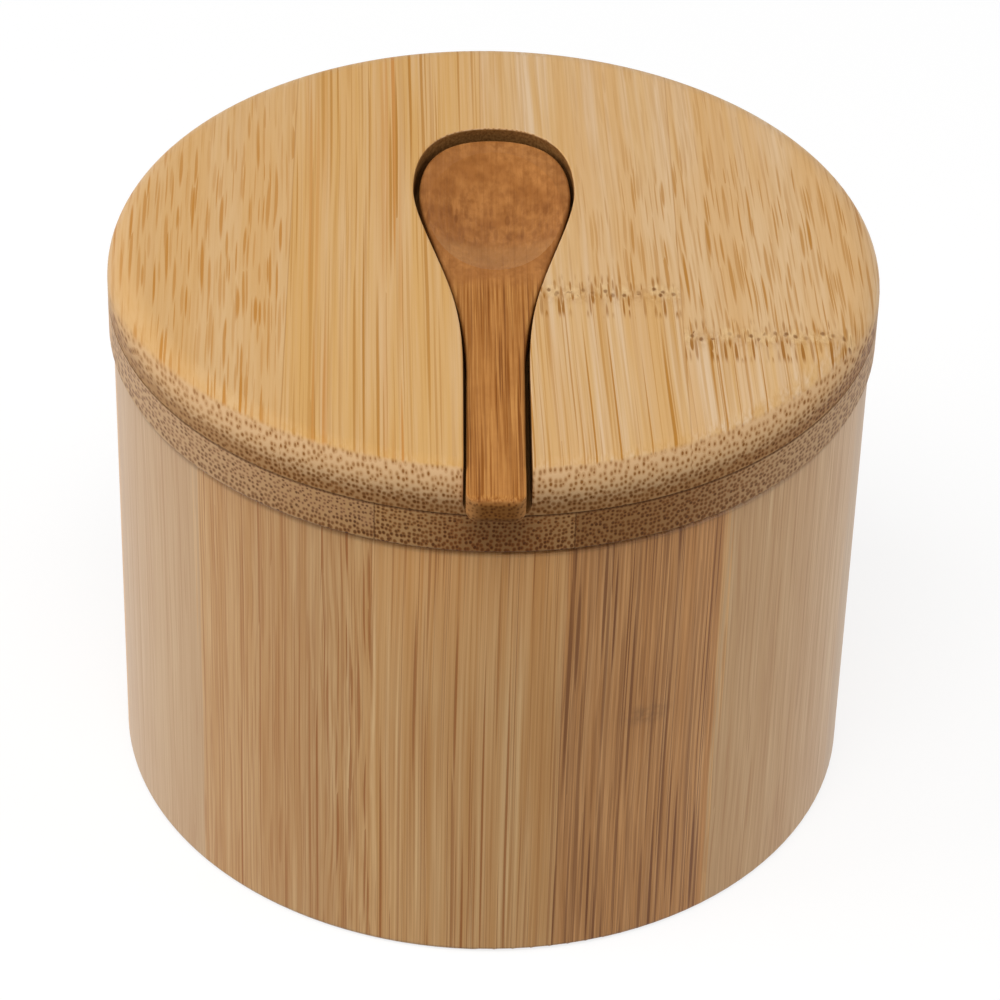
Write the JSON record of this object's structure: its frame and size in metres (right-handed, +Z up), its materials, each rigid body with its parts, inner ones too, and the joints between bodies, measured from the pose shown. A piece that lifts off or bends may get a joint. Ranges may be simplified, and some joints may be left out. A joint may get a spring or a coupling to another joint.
{
  "type": "salt box with swivel lid and stowed spoon",
  "caption": "Round bamboo salt box: turned pot, two-ply lid that swivels on a pin at the back of the rim, magnets that hold it shut, and a small spoon stowed in a slot in the lid.",
  "frame": {"origin": "middle of the underside, on the pot's axis", "axes": "+Z up along the pot's axis; -Y to the front, where the spoon's handle stands out past the rim; +Y to the back, where the lid's pivot is; +X to the right as seen from the front"},
  "size_m": [0.0888, 0.0925, 0.07],
  "materials": {
    "pot_bamboo": "satin oiled bamboo, vertical grain",
    "lid_bamboo": "satin oiled bamboo, grain front to back",
    "spoon_bamboo": "satin oiled carbonised bamboo",
    "steel": "turned, plain",
    "magnet_plating": "bright nickel plate"
  },
  "bodies": {
    "pot": {"pot_body": "pot_bamboo", "pot_base": "pot_bamboo", "pivot_pin": "steel", "pivot_washer": "steel", "rim_magnet": "magnet_plating"},
    "lid": {"lid_lower_ply": "lid_bamboo", "lid_top_ply": "lid_bamboo", "lid_magnet": "magnet_plating"},
    "spoon": {"spoon": "spoon_bamboo"}
  },
  "joints": [
    {"name": "lid_swivel", "type": "hinge", "parent": "pot", "child": "lid", "pos_m": [0, 0.03945, 0.05935], "axis": [0, 0, 1], "continuous": true},
    {"name": "spoon_lift", "type": "slide", "parent": "lid", "child": "spoon", "axis": [0, 0, 1], "range_m": [0, 0.03]}
  ]
}
